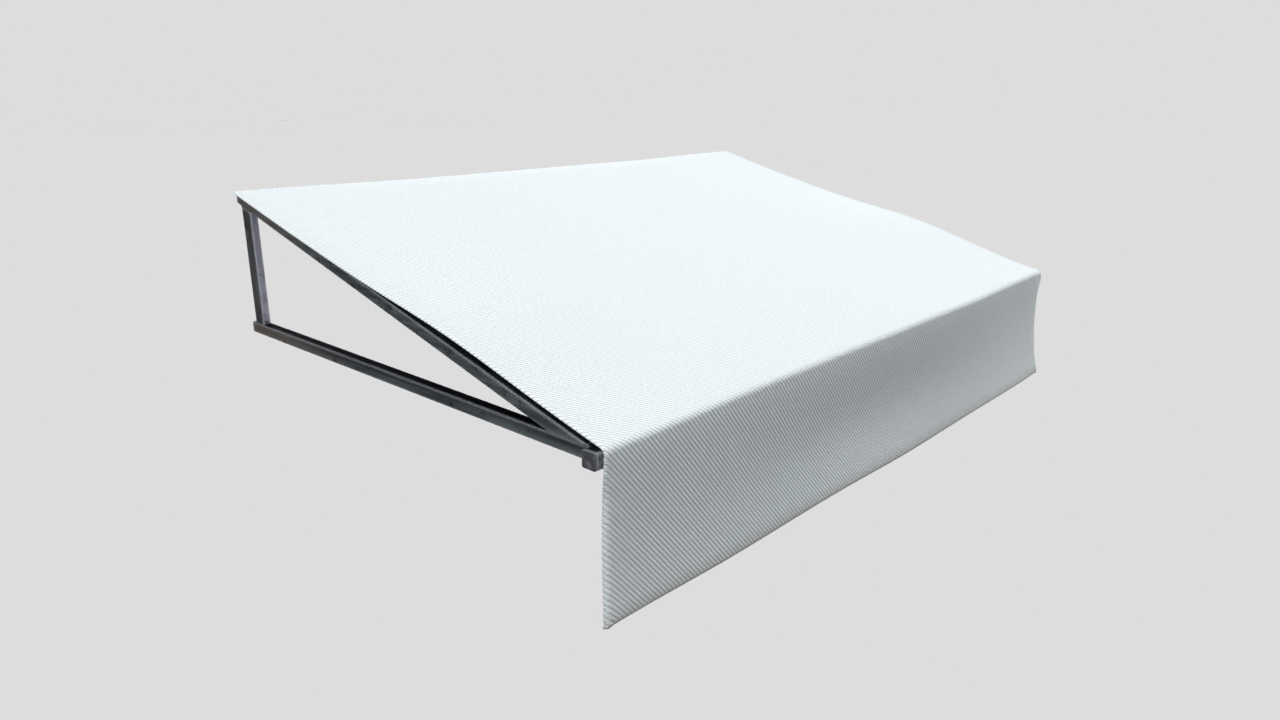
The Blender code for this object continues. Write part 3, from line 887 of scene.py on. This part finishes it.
def tape_material(steel):
    """Woven nylon hook tape: black, with rows of small hooks that break up its sheen."""
    made, tree, shader = new_material("woven_nylon_hook_tape")
    place = add_node(tree, "ShaderNodeTexCoord").outputs["Object"]
    hooks = add_node(tree, "ShaderNodeTexVoronoi", {"Vector": place, "Scale": HOOK_SCALE})
    colour = layered(tree, opaque(steel.tape), (hooks, opaque(steel.tape, 2.2)))
    bump = add_node(
        tree, "ShaderNodeBump", {"Height": hooks, "Distance": 0.0008, "Strength": 0.8}
    )
    set_sockets(tree, shader, {"Base Color": colour, "Normal": bump, "Roughness": 0.85})
    return made


def even_spacing(points, count):
    """The same path with this many points, evenly spaced along its length."""
    length = np.concatenate([[0], np.cumsum(np.linalg.norm(np.diff(points, axis=0), axis=1))])
    place = np.linspace(0, length[-1], count)
    return np.stack([np.interp(place, length, column) for column in points.T], axis=-1)


def rounded_loop(half_across, half_up, corner, count):
    """Evenly spaced points round a rectangle with round corners.

    It is four quarter circles joined by straight runs.
    """
    turn = np.linspace(0, math.pi / 2, WELD_CORNER_POINTS)
    quarter = np.arange(4)[:, None]
    angle = (quarter * math.pi / 2 + turn[None, :]).ravel()
    side_across = np.repeat(np.array([1, -1, -1, 1]), len(turn))
    side_up = np.repeat(np.array([1, 1, -1, -1]), len(turn))
    points = np.stack([
        side_across * (half_across - corner) + corner * np.cos(angle),
        side_up * (half_up - corner) + corner * np.sin(angle),
    ], axis=-1)
    return even_spacing(np.concatenate([points, points[:1]]), count + 1)[:-1]


def bead_mesh(name, path, closed, bead, ripple, up):
    """A weld bead: a round section carried along a path.

    The section's radius grows and drops along the path as a row of overlapping scales, each one
    ripple long: its share is the square root of what is left of the scale. An open bead tapers
    almost to a point at both ends.
    """
    step = np.roll(path, -1, axis=0) - np.roll(path, 1, axis=0)
    if not closed:
        step[0], step[-1] = path[1] - path[0], path[-1] - path[-2]
    along = unit(step)
    across = unit(np.cross(along, np.broadcast_to(up, along.shape)))
    over = np.cross(across, along)
    run = np.concatenate([[0], np.cumsum(np.linalg.norm(np.diff(path, axis=0), axis=1))])
    scale = np.sqrt(1 - RIPPLE_FALL * np.mod(run / ripple, 1))
    radius = bead * (BEAD_LEAST + BEAD_SWELL * scale)
    if not closed:
        end = np.minimum(run, run[-1] - run)
        radius = radius * np.sqrt(np.clip(end / (2 * bead), BEAD_TIP, 1))
    angle = np.linspace(0, 2 * math.pi, BEAD_SIDES, endpoint=False)[None, :, None]
    spoke = across[:, None] * np.cos(angle) + over[:, None] * np.sin(angle)
    points = path[:, None] + radius[:, None, None] * spoke

    number = np.arange(len(path) * BEAD_SIDES).reshape(-1, BEAD_SIDES)
    first = number if closed else number[:-1]
    second = np.roll(number, -1, axis=0)[: len(first)]
    quads = [first, np.roll(first, -1, axis=1), np.roll(second, -1, axis=1), second]
    faces = np.stack(quads, axis=-1).reshape(-1, 4).tolist()
    if not closed:
        faces += [number[0][::-1].tolist(), number[-1].tolist()]
    mesh = bpy.data.meshes.new(name)
    mesh.from_pydata(points.reshape(-1, 3).tolist(), [], faces)
    shape = bmesh.new()
    shape.from_mesh(mesh)
    bmesh.ops.recalc_face_normals(shape, faces=shape.faces)
    shape.to_mesh(mesh)
    shape.free()
    mesh.shade_smooth()
    return mesh


def paint(nodes, material):
    """Gives CAD nodes a material, in a single slot."""
    for name in nodes:
        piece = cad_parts[name]
        piece.data.materials.clear()
        piece.data.materials.append(material)


class AWNING_OT_stage(bpy.types.Operator):
    """Make the floor, the background, the lamps and the camera"""

    bl_idname = "awning.stage"
    bl_label = "Studio and camera"

    def execute(self, context):
        scene = context.scene
        stage = scene.awning_stage
        scene.view_settings.view_transform = "Standard"
        self.camera(scene)
        self.lamp(scene, "key_lamp", stage.key, stage.key_softness, KEY_DIRECTION)
        self.lamp(scene, "side_lamp", stage.side, stage.side_softness, SIDE_DIRECTION)
        self.soft_box(scene, stage.front)
        self.background(scene, stage)
        self.floor(scene, stage)
        return {"FINISHED"}

    def camera(self, scene):
        """The photograph's camera."""
        camera = bpy.data.objects.new("camera", bpy.data.cameras.new("camera"))
        camera.location = CAMERA_PLACE
        camera.rotation_euler = (math.pi / 2 - CAMERA_DIP, 0, CAMERA_TURN)
        camera.data.sensor_width = SENSOR_WIDTH
        camera.data.lens = CAMERA_LENS
        camera.data.clip_end = 2 * FLOOR_SIZE
        scene.collection.objects.link(camera)
        scene.camera = camera

    def lamp(self, scene, name, strength, softness, direction):
        """A distant lamp that gives a face turned straight at it this strength of light."""
        lamp = bpy.data.objects.new(name, bpy.data.lights.new(name, "SUN"))
        lamp.data.energy = strength * math.pi
        lamp.data.angle = softness
        lamp.rotation_euler = Vector(direction).to_track_quat("Z", "Y").to_euler()
        scene.collection.objects.link(lamp)

    def soft_box(self, scene, power):
        """A square lamp near the awning, out of the camera's sight."""
        soft_box = bpy.data.objects.new("soft_box", bpy.data.lights.new("soft_box", "AREA"))
        soft_box.data.energy = power
        soft_box.data.size = SOFT_BOX_SIZE
        soft_box.location = SOFT_BOX_PLACE
        away = Vector(SOFT_BOX_PLACE) - Vector(SOFT_BOX_AIM)
        soft_box.rotation_euler = away.to_track_quat("Z", "Y").to_euler()
        soft_box.visible_camera = False
        scene.collection.objects.link(soft_box)

    def background(self, scene, stage):
        """The plain colour behind the awning, and the even light from all round."""
        world = bpy.data.worlds.new("studio")
        world.use_nodes = True
        tree = world.node_tree
        seen = (self.seen_share(tree), opaque(stage.background))
        light = layered(tree, opaque([stage.fill] * 3), seen)
        set_sockets(tree, tree.nodes["Background"], {"Color": light})
        scene.world = world

    def seen_share(self, tree):
        """1 where the camera, a gloss or glass looks at the background, 0 for its light."""
        path = add_node(tree, "ShaderNodeLightPath").outputs
        most = add_node(
            tree, "ShaderNodeMath", {0: path["Is Camera Ray"], 1: path["Is Glossy Ray"]},
            operation="MAXIMUM",
        )
        return add_node(
            tree, "ShaderNodeMath", {0: most, 1: path["Is Transmission Ray"]}, operation="MAXIMUM"
        )

    def floor(self, scene, stage):
        """A large flat square, matt, with a colour that reads as the background under this light.

        Its level adds up the fill and the two distant lamps, and leaves out the soft box.
        """
        made, tree, shader = new_material("matt_studio_floor")
        level = stage.fill
        for strength, direction in ((stage.key, KEY_DIRECTION), (stage.side, SIDE_DIRECTION)):
            level += strength * Vector(direction).normalized().z
        seen = (self.seen_share(tree), opaque(stage.background, FLOOR_MATCH / level))
        colour = layered(tree, opaque([stage.floor_bounce] * 3), seen)
        set_sockets(
            tree, shader, {"Base Color": colour, "Roughness": 1.0, "Specular IOR Level": 0.0}
        )
        half = FLOOR_SIZE / 2
        corners = [(-half, -half), (half, -half), (half, half), (-half, half)]
        mesh = bpy.data.meshes.new("studio_floor")
        mesh.from_pydata([(x, y, FLOOR_LEVEL) for x, y in corners], [], [(0, 1, 2, 3)])
        mesh.materials.append(made)
        piece = bpy.data.objects.new("studio_floor", mesh)
        scene.collection.objects.link(piece)


class AWNING_OT_canopy(bpy.types.Operator):
    """Make the ribbed cloth that lies over the frame and hangs in front of it"""

    bl_idname = "awning.canopy"
    bl_label = "Canopy cloth"

    def execute(self, context):
        cloth = context.scene.awning_cloth
        piece = add_piece("canopy_cloth", canopy_mesh(cloth), cloth_material(cloth))
        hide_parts("canopy")
        return {"FINISHED"}


class AWNING_OT_steel(bpy.types.Operator):
    """Finish the steel tubes of the frame"""

    bl_idname = "awning.steel"
    bl_label = "Steel tubes"

    def execute(self, context):
        steel = context.scene.awning_steel
        along_x, along_y, along_z = (
            [STREAK_STRETCH if i == axis else 1 for i in range(3)] for axis in range(3)
        )
        # Each group's nodes, then its seed, stretch, paleness, warmth, share of painted front sheen
        # and whether its top has painted shade
        groups = {
            "bar": (["front_bar"], 0.31, along_x, 0.8, 0.4, 0.12),
            "rail": (["rear_rail"], 5.3, along_x, 0.8, 0.4, 0.3),
            "arms": (["bottom_arm_left", "bottom_arm_right"], 1.7, along_y, 1.5, 0.9, 0.3, True),
            "rafters": (["rafter_left", "rafter_right"], 2.9, along_y, 1.2, 0.6, 0.3),
            "posts": (["wall_post_left", "wall_post_right"], 4.3, along_z, 1.0, 0.2, 0.95),
        }
        for name, (nodes, *settings) in groups.items():
            material = steel_material(steel, f"blackened_steel_{name}", *settings)
            paint(nodes, material)
        return {"FINISHED"}


class AWNING_OT_welds(bpy.types.Operator):
    """Make the weld beads where the frame's tubes meet"""

    bl_idname = "awning.welds"
    bl_label = "Weld beads"

    def execute(self, context):
        steel = context.scene.awning_steel
        finish = weld_material(steel)
        for side, name in ((-1, "left"), (1, "right")):
            for joint, path, closed, up in self.joints(side):
                mesh_name = f"weld_{joint}_{name}"
                mesh = bead_mesh(mesh_name, path, closed, steel.bead, steel.ripple, up)
                add_piece(mesh.name, mesh, finish)
        return {"FINISHED"}

    def joints(self, side):
        """One side's beads, each on the face that its tube is welded to.

        Gives each bead's name, its path, whether that is closed, and the direction out of the face.
        """
        half_tube = (ARM_HIGH.x - ARM_LOW.x) / 2
        middle = side * (ARM_LOW.x + half_tube)
        flush = half_tube - WELD_INSET
        centre = (middle, BAR_HIGH.y + GAP / 2, ARM_HIGH.z - half_tube)
        path = self.outline(flush, flush, centre, (1, 0, 0), (0, 0, 1))
        yield "arm_to_bar", path, True, (0, 1, 0)

        foot_end = BAR_HIGH.y + GAP + 2 * half_tube / math.sin(ROOF_PITCH)
        foot = (foot_end + BAR_HIGH.y + GAP) / 2
        half_foot = foot_end - foot - WELD_INSET
        arm_top = ARM_HIGH.z + GAP / 2
        path = self.outline(flush, half_foot, (middle, foot, arm_top), (1, 0, 0), (0, 1, 0))
        yield "rafter_to_arm", path, True, (0, 0, 1)

        half_width = (POST_HIGH.x - POST_LOW.x) / 2
        half_depth = (POST_HIGH.y - POST_LOW.y) / 2
        flush = half_width - WELD_INSET
        post = (side * (POST_LOW.x + half_width), (POST_LOW.y + POST_HIGH.y) / 2)
        path = self.outline(flush, half_depth, (*post, arm_top), (1, 0, 0), (0, 1, 0))
        yield "post_to_arm", path, True, (0, 0, 1)

        under = rafter_top(post[1]) - 2 * half_tube / math.cos(ROOF_PITCH) - GAP / 2
        up_slope = (0, math.cos(ROOF_PITCH), math.sin(ROOF_PITCH))
        half_cut = half_depth / math.cos(ROOF_PITCH)
        path = self.outline(flush, half_cut, (*post, under), (1, 0, 0), up_slope)
        yield "post_to_rafter", path, True, (0, -up_slope[2], up_slope[1])

        low = rafter_top(RAIL_LOW.y) - 2 * half_tube / math.cos(ROOF_PITCH)
        start = RAIL_HIGH.y - WELD_START
        corners = [(start, RAIL_HIGH.z), (RAIL_LOW.y, RAIL_HIGH.z), (RAIL_LOW.y, low)]
        face = side * (RAFTER_INNER_FACE - GAP / 2)
        path = even_spacing(np.array([(face, y, z) for y, z in corners]), WELD_POINTS // 2)
        yield "rail_to_rafter", path, False, (1, 0, 0)

    def outline(self, half_across, half_up, centre, across, up):
        """A rectangle with round corners, on a plane through the centre with two directions."""
        flat = rounded_loop(half_across, half_up, WELD_CORNER, WELD_POINTS)
        return np.array(centre) + flat[:, :1] * np.array(across) + flat[:, 1:] * np.array(up)


class AWNING_OT_plugs(bpy.types.Operator):
    """Finish the plugs in the tubes' ends and the tape that holds the cloth"""

    bl_idname = "awning.plugs"
    bl_label = "End plugs and tape"

    def execute(self, context):
        steel = context.scene.awning_steel
        plugs = [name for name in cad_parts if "plug" in name]
        paint(plugs, plug_material(steel))
        strips = ["front_holding_strip", "rear_holding_strip"]
        paint(strips, tape_material(steel))
        return {"FINISHED"}


class AWNING_PT_panel(bpy.types.Panel):
    """Lists the awning's steps and settings"""

    bl_idname = "AWNING_PT_panel"
    bl_label = "Awning"
    bl_space_type = "VIEW_3D"
    bl_region_type = "UI"
    bl_category = "Awning"

    def draw(self, context):
        for step in STEPS:
            self.layout.operator(step.bl_idname)
        for name in GROUPS:
            group = getattr(context.scene, name)
            box = self.layout.box()
            for setting in group.bl_rna.properties.keys():
                if setting not in ("rna_type", "name"):
                    box.prop(group, setting)


GROUPS = {
    "awning_cloth": ClothSettings, "awning_steel": SteelSettings, "awning_stage": StageSettings
}
STEPS = (AWNING_OT_stage, AWNING_OT_canopy, AWNING_OT_steel, AWNING_OT_welds, AWNING_OT_plugs)


def register():
    for group in (*GROUPS.values(), *STEPS, AWNING_PT_panel):
        bpy.utils.register_class(group)
    for name, group in GROUPS.items():
        setattr(bpy.types.Scene, name, bpy.props.PointerProperty(type=group))


def unregister():
    for name in GROUPS:
        delattr(bpy.types.Scene, name)
    for group in (AWNING_PT_panel, *reversed(STEPS), *GROUPS.values()):
        bpy.utils.unregister_class(group)


def main():
    """Registers the add-on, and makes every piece."""
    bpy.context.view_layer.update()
    register()
    bpy.ops.awning.stage()
    bpy.ops.awning.canopy()
    bpy.ops.awning.steel()
    bpy.ops.awning.welds()
    bpy.ops.awning.plugs()


if __name__ == "__main__":
    main()
